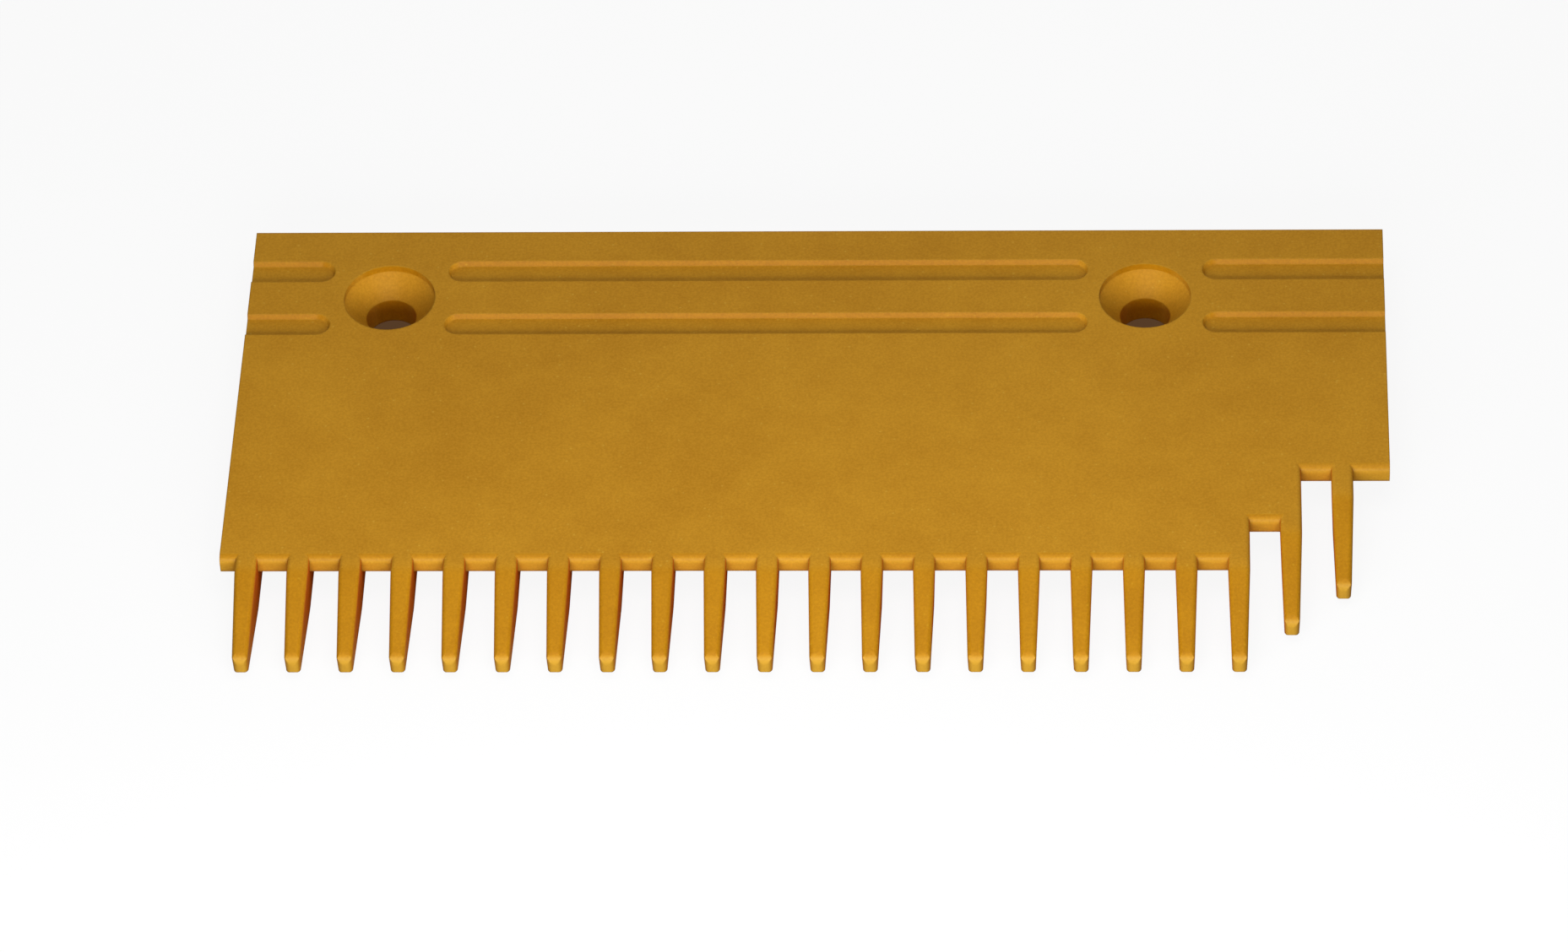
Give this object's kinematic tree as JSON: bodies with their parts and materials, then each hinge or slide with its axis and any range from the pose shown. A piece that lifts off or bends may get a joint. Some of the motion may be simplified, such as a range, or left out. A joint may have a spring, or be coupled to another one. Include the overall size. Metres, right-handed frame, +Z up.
{
  "type": "escalator comb plate",
  "caption": "Flat plastic comb plate with a row of tapering teeth that step back at one corner, two countersunk screw holes and shallow grooves in its deck.",
  "frame": {"origin": "midway between the two screw holes, on the plane that the plate rests on", "axes": "+X along the comb towards its stepped corner, +Y from the teeth to the back edge, +Z up out of the deck"},
  "size_m": [0.2035, 0.1021, 0.01],
  "materials": {
    "yellow_plastic": "satin, with a fine moulded grain"
  },
  "bodies": {
    "root": {"comb_plate": "yellow_plastic"}
  },
  "joints": []
}
